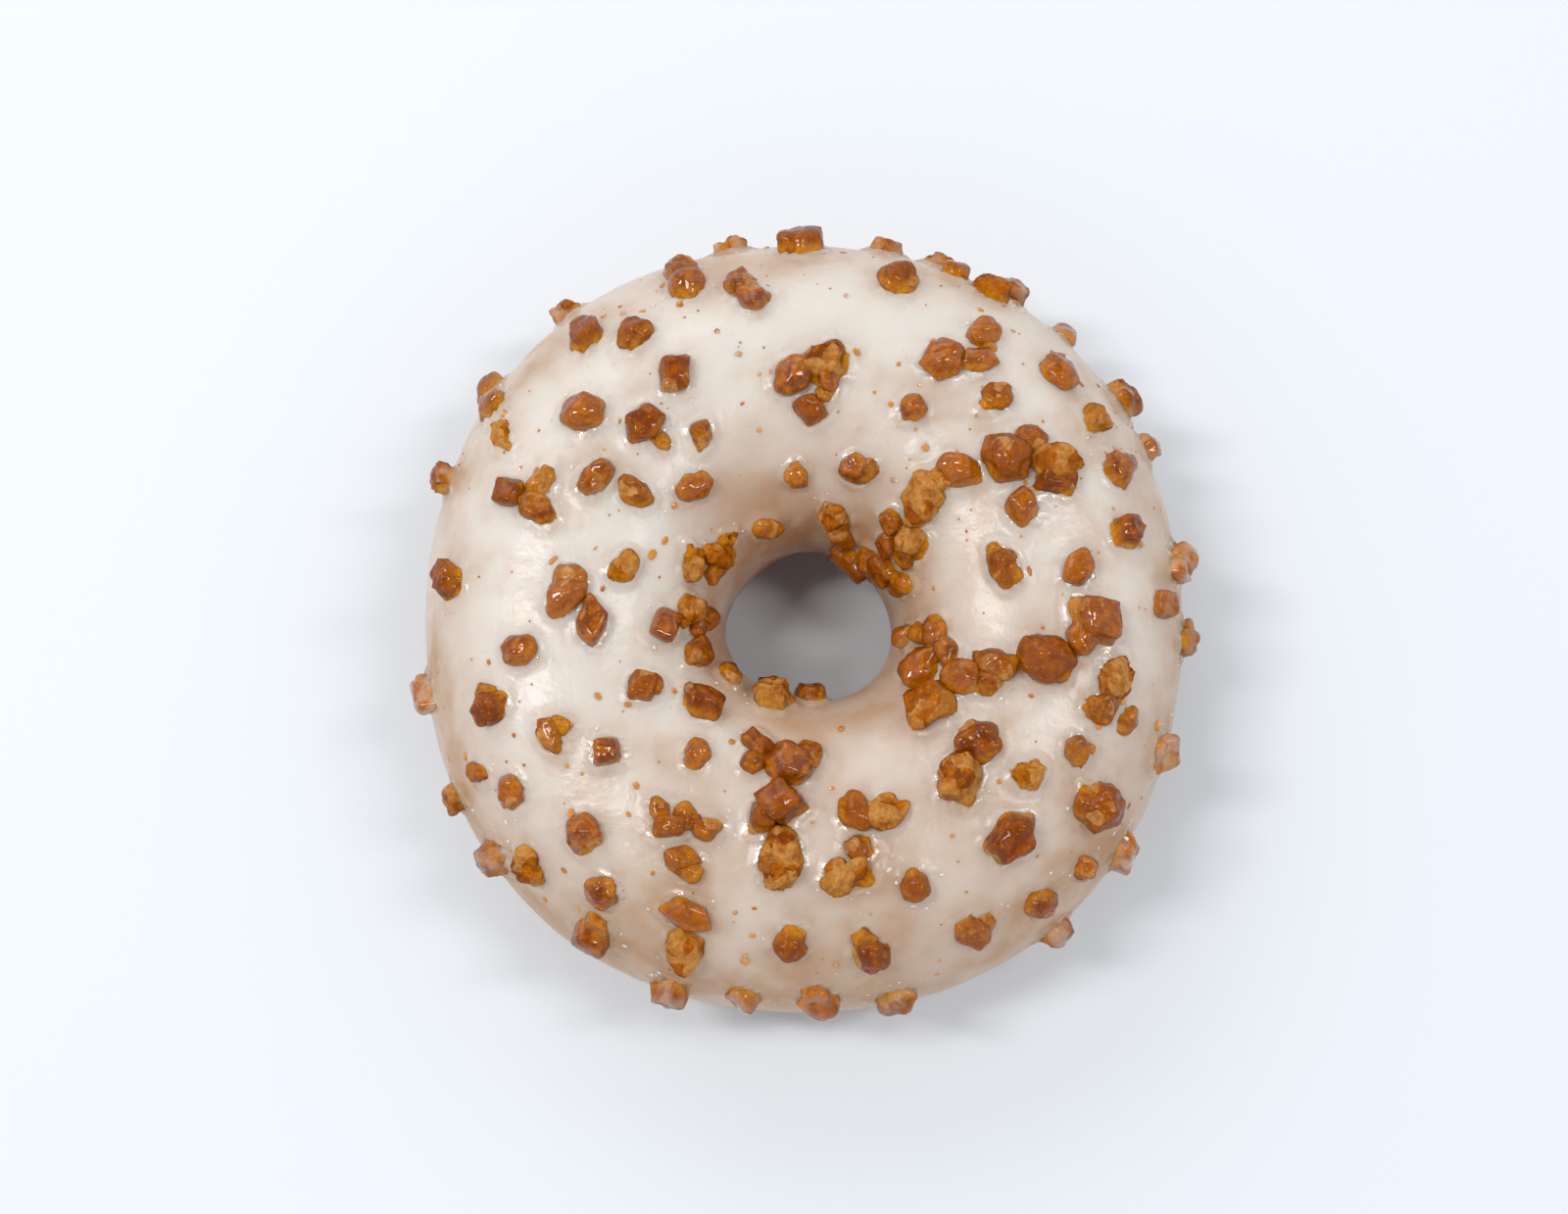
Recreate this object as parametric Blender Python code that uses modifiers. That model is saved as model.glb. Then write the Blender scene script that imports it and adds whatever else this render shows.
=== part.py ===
"""A ring doughnut with pale icing over its top and lumps of toffee all over the icing.

Metres, +Z up. The doughnut rests on Z = 0 and the axis of its ring is the Z axis. A bearing goes
round that axis in degrees, from +X (0) to +Y (90). A lean goes round the ring's own section, from
the outer side (0) over the top (90) to the side of the hole (180).
"""
import math
import random

import bmesh
import bpy
from mathutils import Matrix, Vector

NAME = "caramel_doughnut"

# The ring, measured over its icing
OUTER_RADIUS = 0.04555
HOLE_RADIUS = 0.0094
MID_HEIGHT = 0.0135
TOP_RISE = 0.0152
BELLY_DROP = 0.0145
SQUARENESS = 0.90               # power of the section's sine and cosine, 1 for an ellipse

# Waves round the ring: how many, how large, and the bearing of a top
OUTER_WAVES = ((2, 0.0005, 90), (4, 0.00055, 45))
HOLE_WAVES = ((1, 0.0009, 320), (2, 0.0003, 0), (3, 0.0003, 200))
TOP_WAVES = ((1, 0.0005, 100), (3, 0.0003, 20))

# The icing, a thin layer that hangs down both sides of the ring
GAP = 0.0004
ICING_THICKNESS = 0.0012
COVER = GAP + ICING_THICKNESS
OUTER_HEM = -8
HOLE_HEM = 189
OUTER_HEM_WAVES = ((2, 2.0, 90), (5, 2.0, 20), (9, 1.5, 65))
HOLE_HEM_WAVES = ((3, 2.0, 30), (5, 1.5, 80))

# Facets round the ring and round its section
RING_SEGMENTS = 64
SECTION_SEGMENTS = 24

# A lump of toffee: a few rough corners, wider than it is high, set into the icing
SINK = 0.0006
REACH = 1.12                    # how far the corners stand out, over half the lump's size
ROUGHNESS = 0.17                # how uneven the corners are, as a share of the size
HALF_HEIGHT = 0.46              # over the lump's width
LIFT = 0.30                     # how high the middle is, over the half height
NARROWNESS = (0.62, 0.96)       # range of the width over the length
CHUNK_SHARE = 0.62              # lumps with flat broken faces, the others melted round
CHUNK_SIDES = (4, 6)
CHUNK_TOP = (0.55, 0.95)        # range of a chunk's top over its base
CHUNK_HALF_DEPTH = 0.72         # half its height over half its width
CHUNK_TILT = 0.40
ROUND_TILT = 0.60

# Clumps that stand out: bearing, lean, how many lumps, length of the largest
CLUMPS = (
    (85, 90, 4, 0.0058),
    (110, 40, 2, 0.0046),
    (100, 65, 1, 0.0052),
    (60, 80, 3, 0.0050),
    (35, 90, 2, 0.0062),
    (25, 80, 2, 0.0050),
    (40, 120, 2, 0.0060),
    (50, 170, 2, 0.0052),
    (120, 85, 1, 0.0054),
    (140, 75, 1, 0.0050),
    (150, 90, 2, 0.0048),
    (160, 65, 3, 0.0046),
    (180, 90, 2, 0.0058),
    (190, 125, 1, 0.0052),
    (240, 85, 4, 0.0048),
    (250, 60, 2, 0.0056),
    (265, 85, 2, 0.0062),
    (265, 115, 2, 0.0062),
    (290, 95, 3, 0.0046),
    (280, 80, 1, 0.0054),
    (310, 95, 2, 0.0060),
    (310, 70, 1, 0.0064),
    (325, 50, 1, 0.0056),
    (320, 120, 1, 0.0062),
    (340, 105, 2, 0.0052),
    (345, 90, 1, 0.0064),
    (345, 65, 3, 0.0046),
    (355, 75, 1, 0.0062),
    (30, 135, 4, 0.0048),
    (65, 156, 2, 0.0044),
    (15, 152, 2, 0.0042),
    (150, 142, 3, 0.0044),
    (185, 148, 3, 0.0044),
    (205, 138, 1, 0.0046),
    (330, 134, 3, 0.0050),
    (345, 152, 2, 0.0042),
    (275, 164, 1, 0.0042),
)
CLUMP_SPREAD = 0.70             # distance between the middles of fused lumps over their length
CLUMP_SHRINK = 0.88             # length of each further lump of a clump over the one before

# The other lumps, spread over the whole icing
SCATTERED_LUMPS = 70
LENGTHS = (0.0030, 0.0054)
LOWEST_LEAN = 8
HIGHEST_LEAN = 150
RIM_WEIGHT = 0.60               # how readily a lump goes to the side of the ring, over the top
CANDIDATES = 10                 # places tried for each lump, of which the clearest is taken
SEED = 19
MERGE = 0.00001

# Looks: base colour and roughness
DOUGH_LOOK = ((0.42, 0.19, 0.065, 1), 0.60)
ICING_LOOK = ((0.72, 0.62, 0.53, 1), 0.30)


def swell(waves, bearing):
    """How far a wavy size is over its mean at a bearing."""
    return sum(size * math.cos(math.radians(count * (bearing - top))) for count, size, top in waves)


def power(value, exponent):
    """A power that keeps the sign."""
    return math.copysign(abs(value) ** exponent, value)


def skin(bearing, lean, cover):
    """The point of the ring at a bearing and a lean, with this much cover over the dough."""
    outer = OUTER_RADIUS + swell(OUTER_WAVES, bearing)
    hole = HOLE_RADIUS + swell(HOLE_WAVES, bearing)
    up = power(math.sin(math.radians(lean)), SQUARENESS)
    out = power(math.cos(math.radians(lean)), SQUARENESS)
    rise = TOP_RISE + swell(TOP_WAVES, bearing) if up > 0 else BELLY_DROP
    radius = (outer + hole) / 2 + ((outer - hole) / 2 - COVER + cover) * out
    turn = math.radians(bearing)
    return Vector((radius * math.cos(turn), radius * math.sin(turn), MID_HEIGHT + (rise + cover) * up))


def seat(bearing, lean, lie):
    """Where a lump sits: its long side turned by its lie, its third axis straight out of the icing."""
    around = (skin(bearing + 1, lean, COVER) - skin(bearing - 1, lean, COVER)).normalized()
    over = skin(bearing, lean + 1, COVER) - skin(bearing, lean - 1, COVER)
    out = around.cross(over).normalized()
    over = out.cross(around)
    turned = Matrix((around, over, out)).transposed().to_4x4() @ Matrix.Rotation(lie, 4, "Z")
    return Matrix.Translation(skin(bearing, lean, COVER)) @ turned


def material(name, look):
    """A plain material with a base colour and a roughness."""
    made = bpy.data.materials.new(name)
    made.use_nodes = True
    shader = made.node_tree.nodes["Principled BSDF"]
    shader.inputs["Base Color"].default_value = look[0]
    shader.inputs["Roughness"].default_value = look[1]
    return made


def plain_ring(name, collection):
    """A plain torus in the collection, whose vertices tell their bearing and lean."""
    bpy.ops.mesh.primitive_torus_add(
        major_radius=0.03, minor_radius=0.01,
        major_segments=RING_SEGMENTS, minor_segments=SECTION_SEGMENTS)
    ring = bpy.context.object
    ring.name = ring.data.name = name
    for other in ring.users_collection:
        other.objects.unlink(ring)
    collection.objects.link(ring)
    return ring


def bearing_and_lean(point):
    """Read from a plain torus: the lean runs from -90 under the ring's outer side to 270."""
    bearing = math.degrees(math.atan2(point.y, point.x))
    lean = math.degrees(math.atan2(point.z, math.hypot(point.x, point.y) - 0.03))
    return bearing, lean + 360 if lean < -90 else lean


def make_dough(collection):
    """The fried ring, flattened underneath where it rests."""
    dough = plain_ring("dough", collection)
    for vertex in dough.data.vertices:
        vertex.co = skin(*bearing_and_lean(vertex.co), 0)
        vertex.co.z = max(vertex.co.z, 0)
    dough.data.shade_smooth()
    dough.data.materials.append(material("dough", DOUGH_LOOK))
    return dough


def make_icing(collection):
    """The bare layer: the ring's upper part, from one wavy hem to the other, made thick."""
    icing = plain_ring("icing", collection)
    step = 360 / SECTION_SEGMENTS
    lowest = -step
    highest = 180 + step
    bm = bmesh.new()
    bm.from_mesh(icing.data)
    places = {vertex: bearing_and_lean(vertex.co) for vertex in bm.verts}
    under = [v for v, (_, lean) in places.items() if not lowest - 1 < lean < highest + 1]
    for vertex, (bearing, lean) in places.items():
        if abs(lean - lowest) < 1:
            lean = OUTER_HEM + swell(OUTER_HEM_WAVES, bearing)
        if abs(lean - highest) < 1:
            lean = HOLE_HEM + swell(HOLE_HEM_WAVES, bearing)
        vertex.co = skin(bearing, lean, GAP)
    bmesh.ops.delete(bm, geom=under, context="VERTS")
    bm.to_mesh(icing.data)
    bm.free()
    icing.data.shade_smooth()
    icing.data.materials.append(material("icing", ICING_LOOK))
    thicken = icing.modifiers.new("thicken", "SOLIDIFY")
    thicken.thickness = ICING_THICKNESS
    thicken.offset = 1
    thicken.use_even_offset = True
    apply_modifiers(icing)
    return icing


def apply_modifiers(thing):
    """Turns the object's modifiers into its mesh."""
    graph = bpy.context.evaluated_depsgraph_get()
    done = bpy.data.meshes.new_from_object(thing.evaluated_get(graph))
    thing.modifiers.clear()
    thing.data = done


def clump_lumps(draw):
    """The lumps of the clumps that stand out, each next to one before it."""
    lumps = []
    for bearing, lean, count, length in CLUMPS:
        side = draw.uniform(0, 360)
        for number in range(count):
            lumps.append((bearing, lean, length))
            side += draw.uniform(70, 150)
            stride = length * CLUMP_SPREAD
            middle = math.hypot(*skin(bearing, lean, COVER).xy)
            bearing += math.degrees(stride * math.cos(math.radians(side)) / middle)
            lean += math.degrees(stride * math.sin(math.radians(side)) / TOP_RISE)
            length *= CLUMP_SHRINK
    return lumps


def scattered_lumps(draw, lumps):
    """The other lumps, the largest first, each at the clearest of a few places drawn at random."""
    lengths = sorted((draw.uniform(*LENGTHS) for _ in range(SCATTERED_LUMPS)), reverse=True)
    taken = [(skin(bearing, lean, COVER), length) for bearing, lean, length in lumps]
    for length in lengths:
        best_room = 0
        for _ in range(CANDIDATES):
            bearing = draw.uniform(0, 360)
            lean = draw.uniform(LOWEST_LEAN, HIGHEST_LEAN)
            place = skin(bearing, lean, COVER)
            room = min((place - other).length - (length + other_length) / 2 for other, other_length in taken)
            room *= RIM_WEIGHT + (1 - RIM_WEIGHT) * math.sin(math.radians(lean))
            if room > best_room:
                best_room = room
                best = (bearing, lean, length)
        lumps.append(best)
        taken.append((skin(best[0], best[1], COVER), length))
    return lumps


def make_lump(name, draw, bearing, lean, length, collection):
    """One lump: a few uneven corners round a low middle, cut flat inside the icing."""
    width = length * draw.uniform(*NARROWNESS)
    half_height = width * HALF_HEIGHT
    bm = bmesh.new()
    if draw.random() < CHUNK_SHARE:
        bmesh.ops.create_cone(
            bm, cap_ends=True, segments=draw.randint(*CHUNK_SIDES),
            radius1=1, radius2=draw.uniform(*CHUNK_TOP), depth=2 * CHUNK_HALF_DEPTH)
        tilt = draw.uniform(0, CHUNK_TILT)
    else:
        bmesh.ops.create_icosphere(bm, subdivisions=1, radius=1)
        tilt = draw.uniform(0, ROUND_TILT)
    tumble = Matrix.Rotation(draw.uniform(0, math.tau), 3, "Z") @ Matrix.Rotation(tilt, 3, "X")
    for vertex in bm.verts:
        corner = tumble @ vertex.co * REACH * draw.uniform(1 - ROUGHNESS, 1 + ROUGHNESS)
        height = max((corner.z + LIFT) * half_height, -SINK)
        vertex.co = (corner.x * length / 2, corner.y * width / 2, height)
    bmesh.ops.triangulate(bm, faces=bm.faces)
    bmesh.ops.transform(bm, matrix=seat(bearing, lean, draw.uniform(0, math.pi)), verts=bm.verts)
    mesh = bpy.data.meshes.new(name)
    bm.to_mesh(mesh)
    bm.free()
    lump = bpy.data.objects.new(name, mesh)
    collection.objects.link(lump)
    return lump


def fuse_lumps(icing, toffee):
    """Joins all the lumps of the collection to the icing and takes the collection away."""
    join = icing.modifiers.new("toffee", "BOOLEAN")
    join.operation = "UNION"
    join.operand_type = "COLLECTION"
    join.collection = toffee
    join.solver = "EXACT"
    apply_modifiers(icing)
    for lump in list(toffee.objects):
        bpy.data.objects.remove(lump)
    bpy.data.collections.remove(toffee)


def keep_main_body(thing):
    """Drops loose scraps and fills sealed hollows, which are islands of their own."""
    bm = bmesh.new()
    bm.from_mesh(thing.data)
    left = list(bm.verts)
    seen = set()
    islands = []
    for start in left:
        if start in seen:
            continue
        seen.add(start)
        island = [start]
        for vertex in island:
            for edge in vertex.link_edges:
                other = edge.other_vert(vertex)
                if other not in seen:
                    seen.add(other)
                    island.append(other)
        islands.append(island)
    largest = max(islands, key=len)
    extra = [vertex for island in islands if island is not largest for vertex in island]
    bmesh.ops.delete(bm, geom=extra, context="VERTS")
    bmesh.ops.triangulate(bm, faces=bm.faces)
    bmesh.ops.dissolve_degenerate(bm, dist=MERGE, edges=bm.edges)
    bm.to_mesh(thing.data)
    bm.free()



def main():
    for thing in list(bpy.data.objects):
        bpy.data.objects.remove(thing)
    doughnut = bpy.data.collections.new(NAME)
    bpy.context.scene.collection.children.link(doughnut)
    make_dough(doughnut)
    icing = make_icing(doughnut)
    toffee = bpy.data.collections.new("toffee")
    bpy.context.scene.collection.children.link(toffee)
    draw = random.Random(SEED)
    lumps = scattered_lumps(draw, clump_lumps(draw))
    for number, (bearing, lean, length) in enumerate(lumps):
        make_lump(f"lump_{number}", draw, bearing, lean, length, toffee)
    fuse_lumps(icing, toffee)
    keep_main_body(icing)


main()
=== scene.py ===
import math
import random

import bmesh
import bpy
import numpy as np
from mathutils import Matrix, Vector, noise
from mathutils.bvhtree import BVHTree


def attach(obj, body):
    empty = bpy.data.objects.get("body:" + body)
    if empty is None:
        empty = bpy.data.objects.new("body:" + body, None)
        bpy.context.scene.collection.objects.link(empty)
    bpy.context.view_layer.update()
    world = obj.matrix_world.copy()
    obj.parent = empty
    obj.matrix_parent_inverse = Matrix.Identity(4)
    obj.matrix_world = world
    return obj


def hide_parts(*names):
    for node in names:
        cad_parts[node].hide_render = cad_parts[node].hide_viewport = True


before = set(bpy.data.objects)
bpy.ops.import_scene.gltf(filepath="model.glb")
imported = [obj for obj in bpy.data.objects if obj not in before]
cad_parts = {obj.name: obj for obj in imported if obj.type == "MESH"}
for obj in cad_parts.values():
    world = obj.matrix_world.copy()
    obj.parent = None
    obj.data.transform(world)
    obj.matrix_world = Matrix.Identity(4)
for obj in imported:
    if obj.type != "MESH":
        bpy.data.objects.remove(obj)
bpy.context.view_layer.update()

# The fried dough: a soft ring that has risen and was fried one side at a time, so it is golden
# brown with a paler belt round its widest part, which rode above the fat. It is a little
# wrinkled, and flat underneath where it rests. It shows under the icing and in the hole.

# Sizes are in metres and angles in degrees: a bearing goes round the ring, and a lean goes over
# it, 0 at its outer edge, 90 on its top and 180 in the hole. Waves are given as how many there
# are, how high and the bearing of a crest, patches as their size and where they fade in, and
# grains as their size and depth.
OUTER_RADIUS = 0.04555
HOLE_RADIUS = 0.0094
MID_HEIGHT = 0.0135
TOP_RISE = 0.0152
BELLY_DROP = 0.0145
SQUARENESS = 0.90
OUTER_WAVES = ((2, 0.0005, 90), (4, 0.00055, 45))
HOLE_WAVES = ((1, 0.0009, 320), (2, 0.0003, 0), (3, 0.0003, 200))
TOP_WAVES = ((1, 0.0005, 100), (3, 0.0003, 20))
GAP = 0.0004
ICING_THICKNESS = 0.0012
COVER = GAP + ICING_THICKNESS
DOUGH_SEGMENTS = (360, 120)
WRINKLE_SIZE = 0.0045
WRINKLE_DEPTH = 0.00022
WRINKLE_SHIFT = 3.1
PORE_SIZE = 0.0012
PORE_DEPTH = 0.00007
PORE_SHIFT = 8.4
FRIED = (0.36, 0.135, 0.036, 1)
FRIED_DARK = (0.20, 0.062, 0.014, 1)
BELT = (0.78, 0.55, 0.31, 1)
BELT_LEAN = -13
BELT_WIDTH = 11
BELT_FADE = (0.3, 1.35)
BELT_WANDER = 0.25
BELT_PATCHES = (0.008, 0.2, 0.8)
TOASTED_PATCHES = (0.006, 0.42, 0.66)
DOUGH_GRAINS = ((0.0006, 0.00012), (0.002, 0.0002))
PLAIN_RADIUS = 3


def swell(waves, bearing):
    """How far a wavy size is over its mean at a bearing, in degrees."""
    return sum(size * np.cos(np.radians(count * (bearing - top))) for count, size, top in waves)


def power(value, exponent):
    """A power that keeps the sign."""
    return np.sign(value) * np.abs(value) ** exponent


def skin(bearing, lean, cover):
    """Points of the ring at bearings and leans, in degrees, with this much cover over the dough."""
    outer = OUTER_RADIUS + swell(OUTER_WAVES, bearing)
    hole = HOLE_RADIUS + swell(HOLE_WAVES, bearing)
    up = power(np.sin(np.radians(lean)), SQUARENESS)
    out = power(np.cos(np.radians(lean)), SQUARENESS)
    rise = np.where(up > 0, TOP_RISE + swell(TOP_WAVES, bearing), BELLY_DROP)
    radius = (outer + hole) / 2 + ((outer - hole) / 2 - COVER + cover) * out
    turn = np.radians(bearing)
    return np.stack([radius * np.cos(turn), radius * np.sin(turn), MID_HEIGHT + (rise + cover) * up], -1)


def plain_ring(name, segments):
    """A plain ring of so many segments round and across, with each vertex's bearing and row."""
    bpy.ops.mesh.primitive_torus_add(
        major_radius=PLAIN_RADIUS, minor_radius=1,
        major_segments=segments[0], minor_segments=segments[1])
    ring = bpy.context.object
    ring.name = ring.data.name = name
    place = np.array([v.co for v in ring.data.vertices])
    bearing = np.degrees(np.arctan2(place[:, 1], place[:, 0])) % 360
    out = np.hypot(place[:, 0], place[:, 1]) - PLAIN_RADIUS
    across = np.degrees(np.arctan2(place[:, 2], out)) % 360
    return ring, bearing, np.round(across * segments[1] / 360) % segments[1]


def ripple(places, size, shift):
    """Smooth noise from about -1 to 1 at each place, with swellings of about this size."""
    return np.array([noise.noise(Vector(place) / size + Vector((shift, 0, 0))) for place in places])


def set_places(thing, places):
    """Moves every vertex of the piece to its place and shades the piece smooth."""
    thing.data.vertices.foreach_set("co", np.asarray(places, np.float32).ravel())
    thing.data.shade_smooth()
    thing.data.update()


def set_attribute(thing, name, values):
    """Keeps a number with each vertex, for the materials to read."""
    layer = thing.data.attributes.new(name, "FLOAT", "POINT")
    layer.data.foreach_set("value", np.asarray(values, np.float32))


def set_inputs(tree, node, values):
    """Gives a node's inputs their values, or links them where the value is another node's socket."""
    for name, value in values.items():
        if isinstance(value, bpy.types.NodeSocket):
            tree.links.new(value, node.inputs[name])
        else:
            node.inputs[name].default_value = value


def add(tree, kind, inputs=None, **settings):
    """A new node in a tree, with its settings and inputs."""
    made = tree.nodes.new(kind)
    for name, value in settings.items():
        setattr(made, name, value)
    set_inputs(tree, made, inputs or {})
    return made


def new_group(name, kind, sockets):
    """A node group with its sockets, each in or out, named, typed and with a starting value."""
    group = bpy.data.node_groups.new(name, kind)
    for way, label, socket_type, value in sockets:
        socket = group.interface.new_socket(label, in_out=way, socket_type=socket_type)
        if value is not None:
            socket.default_value = value
    return group, group.nodes.new("NodeGroupInput"), group.nodes.new("NodeGroupOutput")


def new_material(name):
    """A material with its tree, its shader, and the place on the piece that patterns follow."""
    made = bpy.data.materials.new(name)
    made.use_nodes = True
    tree = made.node_tree
    return made, tree, tree.nodes["Principled BSDF"], add(tree, "ShaderNodeTexCoord").outputs["Object"]


def blend_colour(tree, share, first, second):
    """A mix of two colours by a share that may be a socket."""
    made = add(tree, "ShaderNodeMix", data_type="RGBA", inputs={0: share, 6: first, 7: second})
    return made.outputs[2]


def remap(tree, value, low, high, out_low=0.0, out_high=1.0):
    """A value brought from one range to another, smoothly and within its ends."""
    made = add(tree, "ShaderNodeMapRange", interpolation_type="SMOOTHSTEP", inputs={
        "Value": value, "From Min": low, "From Max": high, "To Min": out_low, "To Max": out_high})
    return made.outputs["Result"]


def attribute(tree, name):
    """The number kept with each vertex under this name."""
    return add(tree, "ShaderNodeAttribute", attribute_name=name).outputs["Fac"]


# Two patterns that the surfaces of the dough, the toffee and the icing share: soft uneven patches
# of a colour or a finish, and a fine grain that stands up in relief.
patches, patches_in, patches_out = new_group("patches", "ShaderNodeTree", (
    ("INPUT", "Vector", "NodeSocketVector", None),
    ("INPUT", "Size", "NodeSocketFloat", 0.005),
    ("INPUT", "Low", "NodeSocketFloat", 0.4),
    ("INPUT", "High", "NodeSocketFloat", 0.6),
    ("OUTPUT", "Mask", "NodeSocketFloat", None)))
scale = add(patches, "ShaderNodeMath", operation="DIVIDE", inputs={0: 1.0, 1: patches_in.outputs["Size"]})
field = add(patches, "ShaderNodeTexNoise", inputs={
    "Vector": patches_in.outputs["Vector"], "Scale": scale.outputs[0], "Detail": 3.0, "Roughness": 0.55})
mask = remap(patches, field.outputs["Fac"], patches_in.outputs["Low"], patches_in.outputs["High"])
patches.links.new(mask, patches_out.inputs["Mask"])

grain, grain_in, grain_out = new_group("grain", "ShaderNodeTree", (
    ("INPUT", "Vector", "NodeSocketVector", None),
    ("INPUT", "Size", "NodeSocketFloat", 0.0005),
    ("INPUT", "Depth", "NodeSocketFloat", 0.0001),
    ("OUTPUT", "Height", "NodeSocketFloat", None)))
scale = add(grain, "ShaderNodeMath", operation="DIVIDE", inputs={0: 1.0, 1: grain_in.outputs["Size"]})
field = add(grain, "ShaderNodeTexNoise", inputs={
    "Vector": grain_in.outputs["Vector"], "Scale": scale.outputs[0], "Detail": 4.0, "Roughness": 0.6})
height = add(grain, "ShaderNodeMath", operation="MULTIPLY", inputs={
    0: field.outputs["Fac"], 1: grain_in.outputs["Depth"]})
grain.links.new(height.outputs[0], grain_out.inputs["Height"])


def patch_mask(tree, place, size, low, high):
    """Uneven patches of about this size, more of them where low and high are low."""
    made = add(tree, "ShaderNodeGroup", node_tree=patches, inputs={
        "Vector": place, "Size": size, "Low": low, "High": high})
    return made.outputs["Mask"]


def grain_height(tree, place, size, depth):
    """The height of a fine grain, in metres."""
    made = add(tree, "ShaderNodeGroup", node_tree=grain, inputs={
        "Vector": place, "Size": size, "Depth": depth})
    return made.outputs["Height"]


def patchy(tree, place, pattern, low, high):
    """A value that goes from low to high in uneven patches."""
    return remap(tree, patch_mask(tree, place, *pattern), 0, 1, low, high)


def combine(tree, first, second, operation="ADD"):
    """Two values put together, as a sum unless another operation is named."""
    return add(tree, "ShaderNodeMath", operation=operation, inputs={0: first, 1: second}).outputs[0]


def product(tree, first, second):
    """Two values multiplied."""
    return combine(tree, first, second, "MULTIPLY")


def two_grains(tree, place, first, second):
    """The height of two grains laid over each other."""
    return combine(tree, grain_height(tree, place, *first), grain_height(tree, place, *second))


def bump(tree, shader, height):
    """Lets a height in metres show as relief on the shader."""
    made = add(tree, "ShaderNodeBump", inputs={"Height": height, "Distance": 1.0, "Strength": 1.0})
    tree.links.new(made.outputs["Normal"], shader.inputs["Normal"])


dough, bearing, row = plain_ring("dough_ring", DOUGH_SEGMENTS)
lean = row * 360 / DOUGH_SEGMENTS[1]
places = skin(bearing, lean, 0)
wrinkles = WRINKLE_DEPTH * ripple(places, WRINKLE_SIZE, WRINKLE_SHIFT)
wrinkles = wrinkles + PORE_DEPTH * ripple(places, PORE_SIZE, PORE_SHIFT)
places = skin(bearing, lean, wrinkles - WRINKLE_DEPTH)
places[:, 2] = np.maximum(places[:, 2], 0)
set_places(dough, places)
set_attribute(dough, "lean", (lean + 90) % 360 - 90)

fried, tree, shader, place = new_material("fried_dough")
toasted = blend_colour(tree, patch_mask(tree, place, *TOASTED_PATCHES), FRIED, FRIED_DARK)
off_belt = combine(tree, attribute(tree, "lean"), BELT_LEAN, "SUBTRACT")
off_belt = combine(tree, off_belt, BELT_WIDTH, "DIVIDE")
off_belt = combine(tree, off_belt, patchy(tree, place, BELT_PATCHES, -BELT_WANDER, BELT_WANDER))
off_belt = add(tree, "ShaderNodeMath", operation="ABSOLUTE", inputs={0: off_belt}).outputs[0]
belt = remap(tree, off_belt, *BELT_FADE, 1, 0)
set_inputs(tree, shader, {
    "Base Color": blend_colour(tree, belt, toasted, BELT), "Roughness": 0.62, "Subsurface Weight": 0.15,
    "Subsurface Radius": (1.0, 0.45, 0.2), "Subsurface Scale": 0.0015})
bump(tree, shader, two_grains(tree, place, *DOUGH_GRAINS))
dough.data.materials.append(fried)
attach(dough, "root")
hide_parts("dough")

# The caramel: hard brown toffee, broken into lumps of a few millimetres and dropped on the wet
# icing, which has crept a little way up them. Most have melted round and glossy, some stay dry
# and frosted on their broken faces. Each is set where the solids have it, from the same draws.
SINK = 0.0006
REACH = 1.12
ROUGHNESS = 0.17
HALF_HEIGHT = 0.46
LIFT = 0.30
NARROWNESS = (0.62, 0.96)
CHUNK_SHARE = 0.62
CHUNK_SIDES = (4, 6)
CHUNK_TOP = (0.55, 0.95)
CHUNK_HALF_DEPTH = 0.72
CHUNK_TILT = 0.40
ROUND_TILT = 0.60
# The clumps that stand out: bearing, lean, how many lumps, and how long the longest is.
CLUMPS = (
    (85, 90, 4, 0.0058),
    (110, 40, 2, 0.0046),
    (100, 65, 1, 0.0052),
    (60, 80, 3, 0.0050),
    (35, 90, 2, 0.0062),
    (25, 80, 2, 0.0050),
    (40, 120, 2, 0.0060),
    (50, 170, 2, 0.0052),
    (120, 85, 1, 0.0054),
    (140, 75, 1, 0.0050),
    (150, 90, 2, 0.0048),
    (160, 65, 3, 0.0046),
    (180, 90, 2, 0.0058),
    (190, 125, 1, 0.0052),
    (240, 85, 4, 0.0048),
    (250, 60, 2, 0.0056),
    (265, 85, 2, 0.0062),
    (265, 115, 2, 0.0062),
    (290, 95, 3, 0.0046),
    (280, 80, 1, 0.0054),
    (310, 95, 2, 0.0060),
    (310, 70, 1, 0.0064),
    (325, 50, 1, 0.0056),
    (320, 120, 1, 0.0062),
    (340, 105, 2, 0.0052),
    (345, 90, 1, 0.0064),
    (345, 65, 3, 0.0046),
    (355, 75, 1, 0.0062),
    (30, 135, 4, 0.0048),
    (65, 156, 2, 0.0044),
    (15, 152, 2, 0.0042),
    (150, 142, 3, 0.0044),
    (185, 148, 3, 0.0044),
    (205, 138, 1, 0.0046),
    (330, 134, 3, 0.0050),
    (345, 152, 2, 0.0042),
    (275, 164, 1, 0.0042),
)
CLUMP_SPREAD = 0.70
CLUMP_SHRINK = 0.88
CLUMP_TURN = (70, 150)
SCATTERED_LUMPS = 70
LENGTHS = (0.0030, 0.0054)
LOWEST_LEAN = 8
HIGHEST_LEAN = 150
RIM_WEIGHT = 0.60
CANDIDATES = 10
SEED = 19
KINDS = ("amber", "brown", "dry")
KIND_SHARES = (0.48, 0.33, 0.19)
KIND_MELTS = {"amber": (0.35, 1.0), "brown": (0.35, 1.0), "dry": (0.0, 0.4)}
KNOB_SHARE = 0.45
KNOB_SIZES = (0.50, 0.75)
KNOB_STRIDE = 0.36
FILM_BELOW = 30
FILM_AMOUNTS = (0.2, 0.9)


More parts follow.
